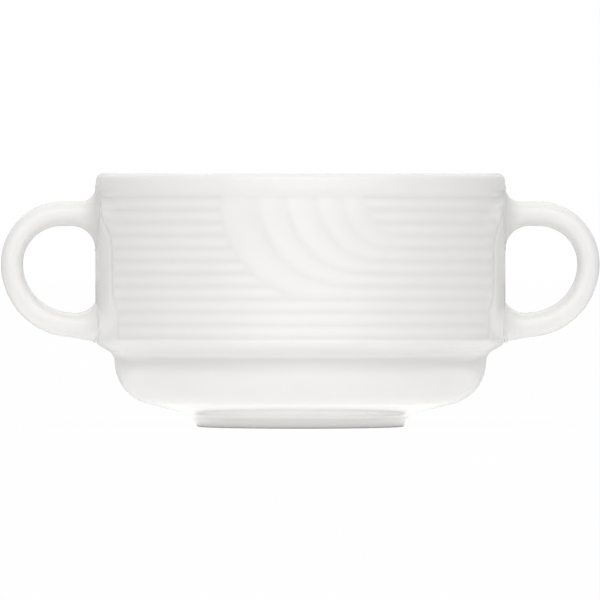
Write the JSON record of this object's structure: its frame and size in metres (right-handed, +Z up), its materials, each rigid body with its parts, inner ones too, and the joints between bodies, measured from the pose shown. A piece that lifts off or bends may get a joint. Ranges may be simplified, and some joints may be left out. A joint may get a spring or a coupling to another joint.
{
  "type": "bouillon cup",
  "caption": "Stackable bouillon cup with a D-loop handle on each side, a reeded wall with a fan relief, a stepped lower bowl and a foot ring.",
  "frame": {"origin": "centre of the foot ring's standing face", "axes": "+X towards the right handle seen from the front, -Y towards the viewer of the front fan, +Z up along the cup's axis"},
  "size_m": [0.1466, 0.1004, 0.062],
  "materials": {
    "glazed_porcelain": "gloss white glaze",
    "fired_slip": "gloss white glaze over fired slip"
  },
  "bodies": {
    "root": {"body": "glazed_porcelain", "handle_left": "glazed_porcelain", "handle_right": "glazed_porcelain", "upper_left_slip_joint": "fired_slip", "lower_left_slip_joint": "fired_slip", "upper_right_slip_joint": "fired_slip", "lower_right_slip_joint": "fired_slip"}
  },
  "joints": []
}
